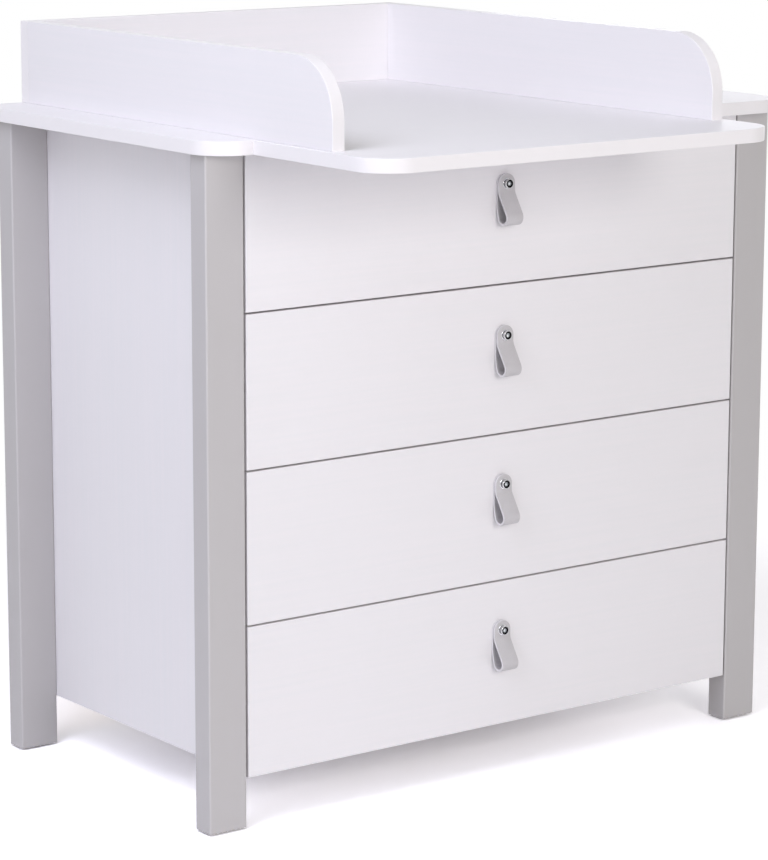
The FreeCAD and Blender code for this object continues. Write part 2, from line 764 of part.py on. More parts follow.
for place in DRAWERS:
    drawer = f"drawer_{place + 1}"
    bottom_edge = box_bottom(place)
    bottom_z = f"({bottom_edge} + bottom_lift)"
    back_z = f"({bottom_z} + bottom_thick)"
    pull_axis = (0, front_face, f"{drawer_floor(place)} + pull_height")
    tongue_half = f"({box_inner} + housing - housing_play)"
    box_start = f"({front_back} - housing + housing_play)"

    across = f"(2 * {tongue_half})"
    side_box = ("side_thick", f"({box_rear} - {box_start})", box_height)
    back_box = (across, "side_thick", f"({box_height} - bottom_lift - bottom_thick)")
    bottom_box = (across, f"({box_rear} - rear_margin - {box_start})", "bottom_thick")
    bottom_at = (f"-{tongue_half}", box_start, bottom_z)
    back_at = (f"-{tongue_half}", back_start, back_z)
    bottom_slot = housing_slot(bottom_box, bottom_at)
    back_slot = housing_slot(back_box, back_at)
    # the bottom slides in from behind, under the back
    rear_slot = block(
        (across, "rear_margin + 2 * mill", "bottom_thick + housing_play"),
        (f"-{tongue_half}", f"{box_rear} - rear_margin - mill", f"{bottom_z} - housing_play / 2"),
    )

    face = prism(
        ("front_width", "front_thick", "front_height"),
        ("-front_width / 2", front_face, drawer_floor(place)),
        [(front_rim, "edge_round")],
    )
    front_cutters = [bottom_slot] + copies(bolt_hole, [(*pull_axis, "+Y")])
    members, middles, fixings = [], [], []
    for side, sign in SIDES:
        low_x = box_inner if sign > 0 else f"(-{box_half})"
        side_at = (low_x, box_start, bottom_edge)
        front_cutters.append(housing_slot(side_box, side_at))
        screws = [
            (
                f"{sign} * ({inner_half} - runner_space + runner_wall)",
                along,
                height,
                "-X" if sign > 0 else "+X",
            )
            for _, along, height, _ in runner_places[side, place]
        ]
        fixings += copies(pan_screw, screws)
        cutters = [bottom_slot, back_slot, rear_slot] + copies(pan_hole, screws)
        node(cut(block(side_box, side_at), cutters), f"{drawer}_side_{side}")
        members.append(channel(
            sign, place, "inner_short", "runner_space", inner_member_half, True,
            copies(pan_hole, screws),
        ))
        middles.append(channel(
            sign, place, "middle_start", "runner_space - middle_short", middle_half, False, []
        ))
    node(cut(face, front_cutters), f"{drawer}_front")
    node(block(back_box, back_at), f"{drawer}_back")
    node(block(bottom_box, bottom_at), f"{drawer}_bottom")
    node(group(members + fixings), f"{drawer}_runners")
    node(group(middles), f"{drawer}_middle_runners")

    pull = doc.addObject("Part::Feature", "strap")
    pull.Shape = strap
    node(put(pull, pull_axis), f"{drawer}_pull_strap")
    hardware = [copies(piece, [(*pull_axis, "+Y")])[0] for piece in (bolt, washer, nut)]
    node(group(hardware), f"{drawer}_pull_bolt")

# ---- checks and files ----
doc.recompute()
for item in doc.Objects:
    if {"Invalid", "Error"} & set(item.State):
        raise RuntimeError(f"{item.Label} failed: {item.State}")
for item in cuts:
    if not item.Shape.Volume < item.Base.Shape.Volume - NEAR:
        raise RuntimeError(f"{item.Label} has a cutter that takes nothing away")
for item in nodes:
    shape = item.Shape
    if shape.isNull() or not shape.isValid():
        raise RuntimeError(f"{item.Label} has no valid shape")
    shape.exportStep(f"parts/{item.Label}.step")
    print(f"{item.Label}: {len(shape.Solids)} solids, {shape.Volume / 1000:.1f} cm3")
print(f"{len(nodes)} nodes")
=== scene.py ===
from math import atan2, cos, degrees, hypot, pi, radians, sin

import bmesh
import bpy
from mathutils import Matrix, Vector


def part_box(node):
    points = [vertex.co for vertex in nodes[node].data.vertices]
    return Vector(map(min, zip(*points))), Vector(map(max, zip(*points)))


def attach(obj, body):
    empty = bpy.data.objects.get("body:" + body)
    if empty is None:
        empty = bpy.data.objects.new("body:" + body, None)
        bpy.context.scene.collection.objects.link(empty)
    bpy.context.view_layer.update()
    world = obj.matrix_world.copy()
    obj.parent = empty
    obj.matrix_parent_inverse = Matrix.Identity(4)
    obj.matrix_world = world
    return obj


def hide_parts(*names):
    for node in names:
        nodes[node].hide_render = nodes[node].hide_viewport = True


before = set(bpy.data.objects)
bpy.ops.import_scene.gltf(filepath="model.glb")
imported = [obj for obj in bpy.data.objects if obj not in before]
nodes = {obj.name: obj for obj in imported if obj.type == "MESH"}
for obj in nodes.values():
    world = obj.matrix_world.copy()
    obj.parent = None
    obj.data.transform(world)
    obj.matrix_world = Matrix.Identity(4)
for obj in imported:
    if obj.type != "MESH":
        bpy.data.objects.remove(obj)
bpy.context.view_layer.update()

scene = bpy.context.scene
mm = 0.001
mergeDistance = 0.001  # in the mm that new pieces are drawn in
plainWhite = "#FFFFFF"
drawerNames = ["drawer_1", "drawer_2", "drawer_3", "drawer_4"]  # the lowest first


# Camera, floor and light

cameraPlace = {
    "at": (-2.699, -3.464, 1.341),
    "lens": 137.98,  # in mm, for a sensor that lies along the picture's long side
    "sensor": 36,
    "turnedRight": 36.824,
    "tiltedDown": 11.422,
    "roll": 0.163,
}
floorLook = {
    "colour": "#F3F2F3",
    "halfSize": 30.0,
    "gain": 1.9,  # for camera rays only, so that the plain floor is white and keeps its shadows
    "shadowReach": (1.0, 1.9),  # from here to here the floor turns into plain white
}
worldLook = {"fill": 0.36, "fillColour": "#FDFDFF"}
lamps = {
    "highLeftSoftbox": {
        "at": (-1.8, -0.4, 2.8), "aim": (0.0, 0.0, 0.8), "size": 1.6, "power": 36, "colour": "#EEF0FF",
    },
    "leftSoftbox": {
        "at": (-3.3, -1.3, 1.9), "aim": (0.0, 0.0, 0.5), "size": 1.8, "power": 25, "colour": "#EEF0FF",
    },
    "frontSoftbox": {
        "at": (-0.4, -4.2, 1.8), "aim": (0.0, 0.0, 0.5), "size": 1.6, "power": 66, "colour": "#FFFCF9",
    },
    "backRightSoftbox": {
        "at": (3.2, 2.8, 0.75), "aim": (0.0, 0.0, 0.45), "size": 1.4, "power": 46, "colour": "#FAFAFF",
    },
}


def linear(hexColour):
    # sRGB hex to linear light, with an alpha of 1
    parts = [int(hexColour[start:start + 2], 16) / 255 for start in (1, 3, 5)]
    return [*(part / 12.92 if part <= 0.04045 else ((part + 0.055) / 1.055) ** 2.4 for part in parts), 1]


def shaded(colour, amount):
    # a linear colour made lighter or darker
    return [*(part * amount for part in colour[:3]), 1]


def addNode(tree, kind, inputs, **settings):
    # one shader node, with its settings, its values and the links that come into it
    node = tree.nodes.new("ShaderNode" + kind)
    for name, value in settings.items():
        setattr(node, name, value)
    for socket, value in inputs.items():
        if isinstance(value, bpy.types.NodeSocket):
            tree.links.new(value, node.inputs[socket])
        else:
            node.inputs[socket].default_value = value
    return node


def seenDirectly(tree):
    # 1 for camera, glossy and transmission rays, 0 for the rays that light things
    rays = addNode(tree, "LightPath", {})
    direct = addNode(tree, "Math", {0: rays.outputs["Is Camera Ray"], 1: rays.outputs["Is Glossy Ray"]},
                     operation="MAXIMUM")
    direct = addNode(tree, "Math", {0: direct.outputs[0], 1: rays.outputs["Is Transmission Ray"]},
                     operation="MAXIMUM")
    return direct.outputs[0]


def makeCamera(place):
    cameraData = bpy.data.cameras.new("camera")
    cameraData.lens = place["lens"]
    cameraData.sensor_width = place["sensor"]
    camera = bpy.data.objects.new("camera", cameraData)
    turn = Matrix.Rotation(radians(-place["turnedRight"]), 4, "Z")
    tilt = Matrix.Rotation(radians(90 - place["tiltedDown"]), 4, "X")
    roll = Matrix.Rotation(radians(place["roll"]), 4, "Z")
    camera.matrix_world = Matrix.Translation(place["at"]) @ turn @ tilt @ roll
    scene.collection.objects.link(camera)
    scene.camera = camera


def makeLamp(name, look):
    lampData = bpy.data.lights.new(name, "AREA")
    lampData.shape = "SQUARE"
    lampData.size = look["size"]
    lampData.energy = look["power"]
    lampData.color = linear(look["colour"])[:3]
    lamp = bpy.data.objects.new(name, lampData)
    aim = Vector(look["aim"]) - Vector(look["at"])
    lamp.matrix_world = Matrix.Translation(look["at"]) @ aim.to_track_quat("-Z", "Y").to_matrix().to_4x4()
    scene.collection.objects.link(lamp)


def makeWorld(look):
    world = bpy.data.worlds.new("studio")
    world.use_nodes = True
    tree = world.node_tree
    tree.nodes.clear()
    fill = addNode(tree, "Background", {"Color": linear(look["fillColour"]), "Strength": look["fill"]})
    white = addNode(tree, "Background", {"Color": linear(plainWhite), "Strength": 1.0})
    both = addNode(tree, "MixShader", {0: seenDirectly(tree), 1: fill.outputs[0], 2: white.outputs[0]})
    addNode(tree, "OutputWorld", {"Surface": both.outputs[0]})
    scene.world = world


def makeFloor(look):
    mesh = bpy.data.meshes.new("floor")
    shape = bmesh.new()
    bmesh.ops.create_grid(shape, x_segments=1, y_segments=1, size=look["halfSize"])
    shape.to_mesh(mesh)
    shape.free()
    floor = bpy.data.objects.new("floor", mesh)
    scene.collection.objects.link(floor)
    paper = bpy.data.materials.new("paperFloor")
    paper.use_nodes = True
    tree = paper.node_tree
    tree.nodes.clear()
    direct = seenDirectly(tree)
    colour = linear(look["colour"])
    bright = addNode(tree, "Mix", {
        "Factor": direct, 6: colour, 7: shaded(colour, look["gain"]),
    }, data_type="RGBA")
    near = addNode(tree, "BsdfDiffuse", {"Color": bright.outputs[2]})
    # away from the object the paper is plain white, for the same rays
    place = addNode(tree, "TexCoord", {})
    distance = addNode(tree, "VectorMath", {0: place.outputs["Object"]}, operation="LENGTH")
    start, end = look["shadowReach"]
    away = addNode(tree, "MapRange", {"Value": distance.outputs["Value"], "From Min": start, "From Max": end},
                   interpolation_type="SMOOTHSTEP")
    away = addNode(tree, "Math", {0: away.outputs[0], 1: direct}, operation="MULTIPLY")
    white = addNode(tree, "Emission", {"Color": linear(plainWhite), "Strength": 1.0})
    both = addNode(tree, "MixShader", {0: away.outputs[0], 1: near.outputs[0], 2: white.outputs[0]})
    addNode(tree, "OutputMaterial", {"Surface": both.outputs[0]})
    mesh.materials.append(paper)


scene.view_settings.view_transform = "Standard"
makeCamera(cameraPlace)
makeWorld(worldLook)
for lampName, lampLook in lamps.items():
    makeLamp(lampName, lampLook)
makeFloor(floorLook)
print("camera, light and floor done")


# Materials

def startMaterial(name, **surface):
    made = bpy.data.materials.new(name)
    made.use_nodes = True
    shader = made.node_tree.nodes["Principled BSDF"]
    for socket, value in surface.items():
        shader.inputs[socket.replace("_", " ")].default_value = value
    return made, made.node_tree, shader


def stretched(tree, sizes):
    # Object coordinates in which one unit is the given size in millimetres along each axis
    place = addNode(tree, "TexCoord", {})
    scale = [1 / (size * mm) for size in sizes]
    return addNode(tree, "Mapping", {"Vector": place.outputs["Object"], "Scale": scale}).outputs[0]


def along(axis, lengthwise, across):
    # sizes for a pattern that runs along one axis
    return [lengthwise if name == axis else across for name in "XYZ"]


laminateLook = {
    "face": "#EDEAEC",
    "streak": "#EBE9EB",
    "edge": "#EFECED",
    "streakWidth": 5.0,  # the print's soft figure, in mm
    "streakLength": 260.0,
    "streakContrast": (0.35, 0.65),  # the noise levels between which one tone turns into the other
    "poreWidth": 0.7,  # pressed pores are about 0.3 mm wide, drawn coarser so that they show
    "poreLength": 18.0,
    "poreContrast": (0.57, 0.68),
    "poreTone": 0.6,
    "poreDepth": 0.05,
    "poreRelief": 0.6,
    "edgeTurn": (0.80, 0.55),  # how far the surface has turned where the edge band starts and is full
    "faceRoughness": 0.46,
    "edgeRoughness": 0.38,
}


def whiteLaminate(thickness, grain, look=laminateLook):
    # Melamine paper pressed onto particle board against a wood-pore plate: a soft satin white with
    # faint long streaks and tiny dashes in relief, and a smoother, whiter plastic band on the edges.
    made, tree, shader = startMaterial(f"whiteLaminate{thickness}{grain}", IOR=1.49)
    figure = addNode(tree, "TexNoise", {
        "Vector": stretched(tree, along(grain, look["streakLength"], look["streakWidth"])),
        "Scale": 1.0, "Detail": 3.0, "Roughness": 0.55,
    })
    low, high = look["streakContrast"]
    tone = addNode(tree, "MapRange", {"Value": figure.outputs["Fac"], "From Min": low, "From Max": high})
    pores = addNode(tree, "TexNoise", {
        "Vector": stretched(tree, along(grain, look["poreLength"], look["poreWidth"])),
        "Scale": 1.0, "Detail": 2.0, "Roughness": 0.5,
    })
    low, high = look["poreContrast"]
    dash = addNode(tree, "MapRange", {"Value": pores.outputs["Fac"], "From Min": low, "From Max": high},
                   interpolation_type="SMOOTHSTEP")
    face = addNode(tree, "Mix", {
        "Factor": tone.outputs[0], 6: linear(look["streak"]), 7: linear(look["face"]),
    }, data_type="RGBA")
    poreTone = addNode(tree, "Math", {0: dash.outputs[0], 1: look["poreTone"]}, operation="MULTIPLY")
    face = addNode(tree, "Mix", {
        "Factor": poreTone.outputs[0], 6: face.outputs[2], 7: linear(look["streak"]),
    }, data_type="RGBA")
    # the edge band is wherever the surface turns away from the board's own thickness
    own = addNode(tree, "TexCoord", {})
    split = addNode(tree, "SeparateXYZ", {0: own.outputs["Normal"]})
    flat = addNode(tree, "Math", {0: split.outputs[thickness]}, operation="ABSOLUTE")
    starts, full = look["edgeTurn"]
    band = addNode(tree, "MapRange", {"Value": flat.outputs[0], "From Min": starts, "From Max": full})
    colour = addNode(tree, "Mix", {
        "Factor": band.outputs[0], 6: face.outputs[2], 7: linear(look["edge"]),
    }, data_type="RGBA")
    tree.links.new(colour.outputs[2], shader.inputs["Base Color"])
    rough = addNode(tree, "MapRange", {
        "Value": band.outputs[0], "To Min": look["faceRoughness"], "To Max": look["edgeRoughness"],
    })
    tree.links.new(rough.outputs[0], shader.inputs["Roughness"])
    depth = addNode(tree, "Math", {0: 1.0, 1: band.outputs[0]}, operation="SUBTRACT")
    relief = addNode(tree, "Math", {0: dash.outputs[0], 1: depth.outputs[0]}, operation="MULTIPLY")
    bump = addNode(tree, "Bump", {
        "Height": relief.outputs[0], "Distance": look["poreDepth"] * mm, "Strength": look["poreRelief"],
    }, invert=True)
    tree.links.new(bump.outputs[0], shader.inputs["Normal"])
    return made


paintLook = {
    "colour": "#BEBBBB",
    "paintedArrisHighlight": "#C4C1C1",  # painted highlight along the rounded long edges
    "arrisTurn": (0.1, 0.5),  # product of the two sideways normal parts, from flat to full arris
    "peel": 1.6,  # orange peel of a sprayed coat, in mm
    "peelDepth": 0.02,
    "peelRelief": 0.7,
    "cloud": 120.0,  # size of the slow changes in gloss
    "roughness": 0.5,
    "roughnessSpread": 0.05,
}


def greyPaint(look=paintLook):
    # Sprayed satin lacquer on a solid wood post: an even cool grey, a very fine orange peel that
    # softens highlights and slow changes in gloss; the rounded edges are a shade paler as a painted
    # highlight.
    made, tree, shader = startMaterial("greyPaint", IOR=1.5)
    clouds = addNode(tree, "TexNoise", {
        "Vector": stretched(tree, [look["cloud"]] * 3), "Scale": 1.0, "Detail": 2.0,
    })
    own = addNode(tree, "TexCoord", {})
    split = addNode(tree, "SeparateXYZ", {0: own.outputs["Normal"]})
    crossed = addNode(tree, "Math", {0: split.outputs["X"], 1: split.outputs["Y"]}, operation="MULTIPLY")
    crossed = addNode(tree, "Math", {0: crossed.outputs[0]}, operation="ABSOLUTE")
    starts, full = look["arrisTurn"]
    arris = addNode(tree, "MapRange", {"Value": crossed.outputs[0], "From Min": starts, "From Max": full})
    # painted highlight: the rounded long edges are mixed towards a paler grey
    tone = addNode(tree, "Mix", {
        "Factor": arris.outputs[0], 6: linear(look["colour"]), 7: linear(look["paintedArrisHighlight"]),
    }, data_type="RGBA")
    tree.links.new(tone.outputs[2], shader.inputs["Base Color"])
    gloss = addNode(tree, "MapRange", {
        "Value": clouds.outputs["Fac"],
        "To Min": look["roughness"] - look["roughnessSpread"],
        "To Max": look["roughness"] + look["roughnessSpread"],
    })
    tree.links.new(gloss.outputs[0], shader.inputs["Roughness"])
    peel = addNode(tree, "TexNoise", {
        "Vector": stretched(tree, [look["peel"]] * 3), "Scale": 1.0, "Detail": 1.0,
    })
    bump = addNode(tree, "Bump", {
        "Height": peel.outputs["Fac"], "Distance": look["peelDepth"] * mm, "Strength": look["peelRelief"],
    })
    tree.links.new(bump.outputs[0], shader.inputs["Normal"])
    return made


fibreboardLook = {
    "white": "#E9E8E8",
    "whiteMottle": "#E2E1E2",
    "raw": "#B0936F",
    "rawMottle": "#9A7F5C",
    "printedTurn": 0.8,  # a face is printed when it points this much to the good side
    "fibre": 0.8,
    "fibreDepth": 0.03,
    "fibreRelief": 0.5,
    "roughness": 0.5,
}


def whiteFibreboard(thickness, faceSign, look=fibreboardLook):
    # Thin high-density fibreboard, printed white on its good side only: faintly mottled white there,
    # brown pressed fibre on the other side and on the cut edges.
    made, tree, shader = startMaterial(f"whiteFibreboard{thickness}", Roughness=look["roughness"])
    fibres = addNode(tree, "TexNoise", {
        "Vector": stretched(tree, [look["fibre"]] * 3), "Scale": 1.0, "Detail": 4.0,
    })
    own = addNode(tree, "TexCoord", {})
    split = addNode(tree, "SeparateXYZ", {0: own.outputs["Normal"]})
    printed = addNode(tree, "Math", {0: split.outputs[thickness], 1: look["printedTurn"] * faceSign},
                      operation="GREATER_THAN" if faceSign > 0 else "LESS_THAN")
    white = addNode(tree, "Mix", {
        "Factor": fibres.outputs["Fac"], 6: linear(look["white"]), 7: linear(look["whiteMottle"]),
    }, data_type="RGBA")
    brown = addNode(tree, "Mix", {
        "Factor": fibres.outputs["Fac"], 6: linear(look["raw"]), 7: linear(look["rawMottle"]),
    }, data_type="RGBA")
    colour = addNode(tree, "Mix", {
        "Factor": printed.outputs[0], 6: brown.outputs[2], 7: white.outputs[2],
    }, data_type="RGBA")
    tree.links.new(colour.outputs[2], shader.inputs["Base Color"])
    bump = addNode(tree, "Bump", {
        "Height": fibres.outputs["Fac"], "Distance": look["fibreDepth"] * mm, "Strength": look["fibreRelief"],
    })
    tree.links.new(bump.outputs[0], shader.inputs["Normal"])
    return made


zincSteelLook = {
    "pale": "#C9CCCE",
    "dark": "#B4B7BA",
    "spangle": 9.0,
    "roughness": 0.34,
    "roughnessSpread": 0.08,
    "line": 0.5,  # width of a draw line, in mm, with its length and depth
    "lineLength": 20.0,
    "lineDepth": 0.01,
    "lineRelief": 0.5,
}
zincCastingLook = zincSteelLook | {
    "pale": "#A9ABAE",
    "dark": "#8F9194",
    "roughness": 0.5,
    "line": 1.2,
    "lineLength": 48.0,
    "lineDepth": 0.03,
}


def dullMetal(name, look):
    # Zinc over drawn steel or a raw casting: a dull metal with cloudy spangle and fine draw lines.
    made, tree, shader = startMaterial(name, Metallic=1.0)
    spangle = addNode(tree, "TexNoise", {
        "Vector": stretched(tree, [look["spangle"]] * 3), "Scale": 1.0, "Detail": 3.0,
    })
    colour = addNode(tree, "Mix", {
        "Factor": spangle.outputs["Fac"], 6: linear(look["dark"]), 7: linear(look["pale"]),
    }, data_type="RGBA")
    tree.links.new(colour.outputs[2], shader.inputs["Base Color"])
    lines = addNode(tree, "TexNoise", {
        "Vector": stretched(tree, along("Y", look["lineLength"], look["line"])), "Scale": 1.0, "Detail": 2.0,
    })
    gloss = addNode(tree, "MapRange", {
        "Value": lines.outputs["Fac"],
        "To Min": look["roughness"] - look["roughnessSpread"],
        "To Max": look["roughness"] + look["roughnessSpread"],
    })
    tree.links.new(gloss.outputs[0], shader.inputs["Roughness"])
    bump = addNode(tree, "Bump", {
        "Height": lines.outputs["Fac"], "Distance": look["lineDepth"] * mm, "Strength": look["lineRelief"],
    })
    tree.links.new(bump.outputs[0], shader.inputs["Normal"])
    return made


beechLook = {
    "pale": "#E0BE92",
    "fleck": "#C79F6E",
    "fleckSize": [3.0, 3.0, 0.8],  # in mm along X, Y and Z
    "roughness": 0.6,
}


def beechWood(look=beechLook):
    # Turned beech pegs: pale pinkish tan with short darker flecks.
    made, tree, shader = startMaterial("beech", Roughness=look["roughness"])
    flecks = addNode(tree, "TexNoise", {
        "Vector": stretched(tree, look["fleckSize"]), "Scale": 1.0, "Detail": 3.0,
    })
    colour = addNode(tree, "Mix", {
        "Factor": flecks.outputs["Fac"], 6: linear(look["fleck"]), 7: linear(look["pale"]),
    }, data_type="RGBA")
    tree.links.new(colour.outputs[2], shader.inputs["Base Color"])
    return made


glideLook = {
    "colour": "#8E8E91",
    "darkest": 0.9,
    "skin": 0.7,
    "skinDepth": 0.02,
    "skinRelief": 0.6,
    "roughness": 0.45,
    "roughnessSpread": 0.04,
}


def mouldedPlastic(look=glideLook):
    # Injection-moulded polyethylene: one even grey with a fine spark-eroded skin.
    made, tree, shader = startMaterial("greyPolyethylene", IOR=1.52)
    skin = addNode(tree, "TexNoise", {
        "Vector": stretched(tree, [look["skin"]] * 3), "Scale": 1.0, "Detail": 2.0,
    })
    colour = linear(look["colour"])
    tone = addNode(tree, "Mix", {
        "Factor": skin.outputs["Fac"], 6: colour, 7: shaded(colour, look["darkest"]),
    }, data_type="RGBA")
    tree.links.new(tone.outputs[2], shader.inputs["Base Color"])
    gloss = addNode(tree, "MapRange", {
        "Value": skin.outputs["Fac"],
        "To Min": look["roughness"] - look["roughnessSpread"],
        "To Max": look["roughness"] + look["roughnessSpread"],
    })
    tree.links.new(gloss.outputs[0], shader.inputs["Roughness"])
    bump = addNode(tree, "Bump", {
        "Height": skin.outputs["Fac"], "Distance": look["skinDepth"] * mm, "Strength": look["skinRelief"],
    })
    tree.links.new(bump.outputs[0], shader.inputs["Normal"])
    return made


grainSideLook = {
    "pale": "#CECBCD",
    "dark": "#C2BFC1",
    "cloud": 14.0,
    "cell": 0.9,  # grain cells are about 0.4 mm, drawn coarser so that they show
    "creaseWidth": 0.12,  # as a part of a cell
    "creaseDepth": 0.12,
    "creaseRelief": 0.5,
    "roughness": 0.55,
    "creaseRoughness": 0.1,  # more than the rest
    "sheen": 0.08,
}
fleshSideLook = grainSideLook | {
    "pale": "#C2BFC1",
    "dark": "#B2AFB2",
    "cell": 0.5,
    "creaseDepth": 0.08,
    "roughness": 0.8,
}
cutEdgeLook = grainSideLook | {
    "pale": "#E4E2E5",
    "dark": "#D8D6D9",
    "cell": 0.4,
    "creaseDepth": 0.04,
    "roughness": 0.6,
}


def leather(name, look):
    # Drummed split leather with a pigmented finish: soft satin, fine pebbled cells, gentle clouding, and
    # painted shade darkening the creases between cells.
    made, tree, shader = startMaterial(name, Sheen_Weight=look["sheen"], IOR=1.45)
    clouds = addNode(tree, "TexNoise", {
        "Vector": stretched(tree, [look["cloud"]] * 3), "Scale": 1.0, "Detail": 3.0,
    })
    cells = addNode(tree, "TexVoronoi", {"Vector": stretched(tree, [look["cell"]] * 3), "Scale": 1.0},
                    feature="DISTANCE_TO_EDGE")
    crease = addNode(tree, "MapRange", {"Value": cells.outputs["Distance"], "From Max": look["creaseWidth"]})
    tone = addNode(tree, "Mix", {
        "Factor": clouds.outputs["Fac"], 6: linear(look["dark"]), 7: linear(look["pale"]),
    }, data_type="RGBA")
    # painted shade: the creases between the grain cells take the dark tone
    paintedCreaseShade = addNode(tree, "Mix", {
        "Factor": crease.outputs[0], 6: linear(look["dark"]), 7: tone.outputs[2],
    }, data_type="RGBA")
    tree.links.new(paintedCreaseShade.outputs[2], shader.inputs["Base Color"])
    gloss = addNode(tree, "MapRange", {
        "Value": crease.outputs[0],
        "To Min": look["roughness"] + look["creaseRoughness"],
        "To Max": look["roughness"],
    })
    tree.links.new(gloss.outputs[0], shader.inputs["Roughness"])
    bump = addNode(tree, "Bump", {
        "Height": crease.outputs[0], "Distance": look["creaseDepth"] * mm, "Strength": look["creaseRelief"],
    })
    tree.links.new(bump.outputs[0], shader.inputs["Normal"])
    return made


chromeLook = {
    "colour": "#D6D6D8",
    "roughness": 0.12,
    "haze": 2.5,
    "hazeSpread": 0.4,  # as a part of the roughness
}
# painted reflection: a near-black metal standing in for dark surroundings mirrored in the chrome head's dish
paintedReflectionRingLook = chromeLook | {
    "colour": "#1E1D1F",
    "roughness": 0.24,
}


def platedMetal(name, look):
    # Bright nickel plate: mirror-like, with faint polishing haze. Its near-black copy is a painted reflection
    # of dark surroundings in the bolt head's dish.
    made, tree, shader = startMaterial(name, Metallic=1.0, Base_Color=linear(look["colour"]))
    haze = addNode(tree, "TexNoise", {
        "Vector": stretched(tree, [look["haze"]] * 3), "Scale": 1.0, "Detail": 2.0,
    })
    gloss = addNode(tree, "MapRange", {
        "Value": haze.outputs["Fac"],
        "To Min": look["roughness"] * (1 - look["hazeSpread"]),
        "To Max": look["roughness"] * (1 + look["hazeSpread"]),
    })
    tree.links.new(gloss.outputs[0], shader.inputs["Roughness"])
    return made


laminates = {}  # by the axis of the board's thickness and the axis of its grain
for thicknessAxis, grainAxis in ("YX", "XY", "XZ", "ZX"):
    laminates[thicknessAxis + grainAxis] = whiteLaminate(thicknessAxis, grainAxis)
paint = greyPaint()
zincSteel = dullMetal("zincSteel", zincSteelLook)
zincCasting = dullMetal("zincCasting", zincCastingLook)
beech = beechWood()
greyPolyethylene = mouldedPlastic()
chrome = platedMetal("chromePlate", chromeLook)
paintedReflectionRing = platedMetal("paintedReflectionRing", paintedReflectionRingLook)
leatherFace = leather("leatherGrainSide", grainSideLook)
leatherFlesh = leather("leatherFleshSide", fleshSideLook)
leatherEdge = leather("leatherCutEdge", cutEdgeLook)

# which finish each CAD node takes, by the first start of a name that fits
nodeFinishes = {
    "leg_screws": zincSteel,
    "leg_": paint,
    "foot_glides": greyPolyethylene,
    "side_panel_": laminates["XZ"],
    "bottom_panel": laminates["ZX"],
    "top_rail_": laminates["ZX"],
    "back_panel": whiteFibreboard("Y", -1),
    "cam_discs": zincCasting,
    "cam_bolts": zincCasting,
    "dowels": beech,
    "top_board": laminates["ZX"],
    "front_extension": laminates["ZX"],
    "guard_screws": zincSteel,
    "guard_back": laminates["YX"],
    "guard_": laminates["XY"],
    "top_screws": zincSteel,
    "cabinet_runners": zincSteel,
    "runner_screws": zincSteel,
}
drawerFinishes = {
    "_front": laminates["YX"],
    "_side_left": laminates["XY"],
    "_side_right": laminates["XY"],
    "_back": laminates["YX"],
    "_bottom": whiteFibreboard("Z", 1),
    "_runners": zincSteel,
    "_middle_runners": zincSteel,
    "_pull_strap": leatherFace,
    "_pull_bolt": chrome,
}


def finishOf(nodeName):
    for drawer in drawerNames:
        if nodeName.startswith(drawer):
            return drawerFinishes[nodeName[len(drawer):]]
    return next(finish for start, finish in nodeFinishes.items() if nodeName.startswith(start))


for nodeName, node in nodes.items():
    for materialSlot in node.material_slots:
        materialSlot.material = finishOf(nodeName)
print("materials done")


# New pieces

def makePiece(name, shape, materials, body, replaced, sharp=35):
    # a bmesh made into a piece that rides on a body and stands for CAD nodes
    mesh = bpy.data.meshes.new(name)
    shape.normal_update()
    shape.to_mesh(mesh)
    shape.free()
    mesh.shade_smooth()
    mesh.set_sharp_from_angle(angle=radians(sharp))
    for material in materials:
        mesh.materials.append(material)
    piece = bpy.data.objects.new(name, mesh)
    scene.collection.objects.link(piece)
    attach(piece, body)
    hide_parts(*replaced)


def turnOutward(shape):
    # recalculated faces can still all point inwards, which the sign of the volume tells
    bmesh.ops.recalc_face_normals(shape, faces=shape.faces[:])
    if shape.calc_volume(signed=True) < 0:
        bmesh.ops.reverse_faces(shape, faces=shape.faces[:])


def addCopy(target, template, matrix=Matrix()):
    mesh = bpy.data.meshes.new("copy")
    template.to_mesh(mesh)
    mesh.transform(matrix)
    if matrix.determinant() < 0:
        mesh.flip_normals()
    target.from_mesh(mesh)
    bpy.data.meshes.remove(mesh)


def chain(shape, points):
    # a run of vertices joined by edges
    corners = [shape.verts.new(point) for point in points]
    edges = [shape.edges.new(pair) for pair in zip(corners, corners[1:])]
    return corners + edges


def bolted(drawer):
    # the pull bolt's axis where it meets the drawer front's face
    low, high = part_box(f"{drawer}_pull_bolt")
    frontLow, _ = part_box(f"{drawer}_front")
    return Vector(((low.x + high.x) / 2, frontLow.y, (low.z + high.z) / 2))


pullLook = {  # in mm
    "width": 27.0,
    "thickness": 3.2,
    "leafGap": 0.3,
    "head": 13.0,  # rounded end above the bolt
    "swing": 70.0,  # back leaf's radius, and its turn in degrees
    "swingTurn": 20.0,
    "bend": 9.0,  # radius of the loop's bottom
    "lean": 32.0,  # front leaf's lean in degrees
    "crook": 15.0,  # radius where the front leaf meets the bolt
    "flatBelow": 7.8,  # how far under the bolt the front leaf lies flat
    "softEdge": 0.7,
    "softEdgeSteps": 3,
    "rimTurn": 60.0,  # an edge with a larger turn than this, in degrees, belongs to the rim
    "hole": 2.65,
    "holeSides": 24,
    "faceTurn": 0.6,  # how much of a face's normal looks out for it to be grain or flesh side
    "sharpFrom": 50.0,
    "bendStep": 1.3,
    "outlineSides": 48,
}


